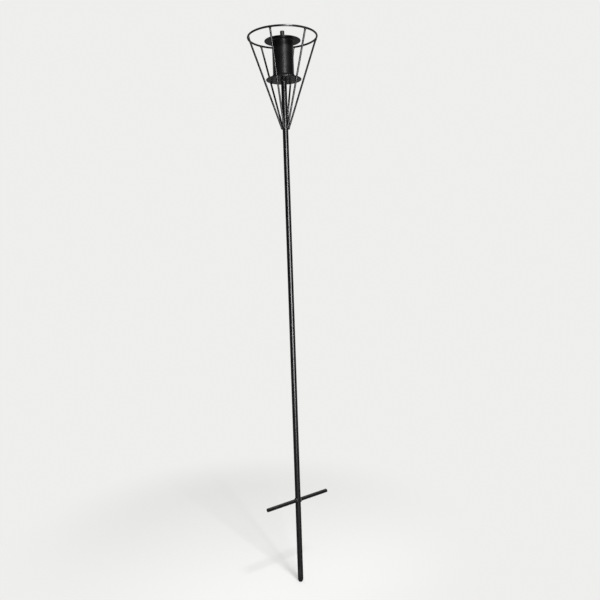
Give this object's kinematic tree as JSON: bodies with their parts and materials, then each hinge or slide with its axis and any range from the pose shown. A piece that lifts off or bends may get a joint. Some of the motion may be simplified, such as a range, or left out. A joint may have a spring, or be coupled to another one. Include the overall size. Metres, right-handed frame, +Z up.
{
  "type": "garden torch",
  "caption": "Tall black steel garden torch: a pole with a ground spike and step bar, and an open cone cage that holds a lift-out fuel canister with a screw-in wick burner.",
  "frame": {"origin": "on the pole's axis at the seam between the pole tube and the top of the ground spike, just below the step bar", "axes": "+Z up along the pole, +X along the step bar"},
  "size_m": [0.262, 0.233, 1.8758],
  "materials": {
    "frame_black": "satin black paint over drawn steel, lightly textured",
    "weld_black": "rippled weld bead under the same satin black paint",
    "canister_black": "smooth satin black paint over thin sheet steel",
    "burner_black": "black, dulled by heat and soot near the flame",
    "gasket_rubber": "plain flat rubber seal",
    "wick_fibre": "braided glass fibre, charred black at the lit end"
  },
  "bodies": {
    "torch_frame": {"pole_tube": "frame_black", "ground_spike": "frame_black", "spike_weld": "weld_black", "step_bar": "frame_black", "step_bar_welds": "weld_black", "cage_ring": "frame_black", "cage_rod_1": "frame_black", "cage_rod_2": "frame_black", "cage_rod_3": "frame_black", "cage_rod_4": "frame_black", "cage_rod_5": "frame_black", "cage_rod_6": "frame_black", "ring_welds": "weld_black", "rod_foot_welds": "weld_black", "canister_tray": "frame_black", "tray_weld": "weld_black", "canister_collar": "frame_black", "collar_welds": "weld_black"},
    "canister": {"canister_body": "canister_black", "canister_top_plate": "canister_black", "canister_seam_weld": "weld_black", "filler_neck": "canister_black"},
    "burner_seal": {"burner_gasket": "gasket_rubber"},
    "burner": {"burner_cap": "burner_black", "wick_tube": "burner_black"},
    "wick": {"wick": "wick_fibre"}
  },
  "joints": [
    {"name": "canister_lift", "type": "slide", "parent": "torch_frame", "child": "canister", "axis": [0, 0, 1], "range_m": [0, 0.16]},
    {"name": "burner_rise", "type": "slide", "parent": "canister", "child": "burner_seal", "axis": [0, 0, 1], "range_m": [0, 0.009]},
    {"name": "burner_turn", "type": "hinge", "parent": "burner_seal", "child": "burner", "pos_m": [0, 0, 1.5834], "axis": [0, 0, 1], "range_deg": [0, 1080]},
    {"name": "wick_feed", "type": "slide", "parent": "burner", "child": "wick", "axis": [0, 0, 1], "range_m": [0, 0.03]}
  ],
  "couplings": [
    {"joint": "burner_rise", "follows": "burner_turn", "m_per_rad": 0.00047746}
  ]
}
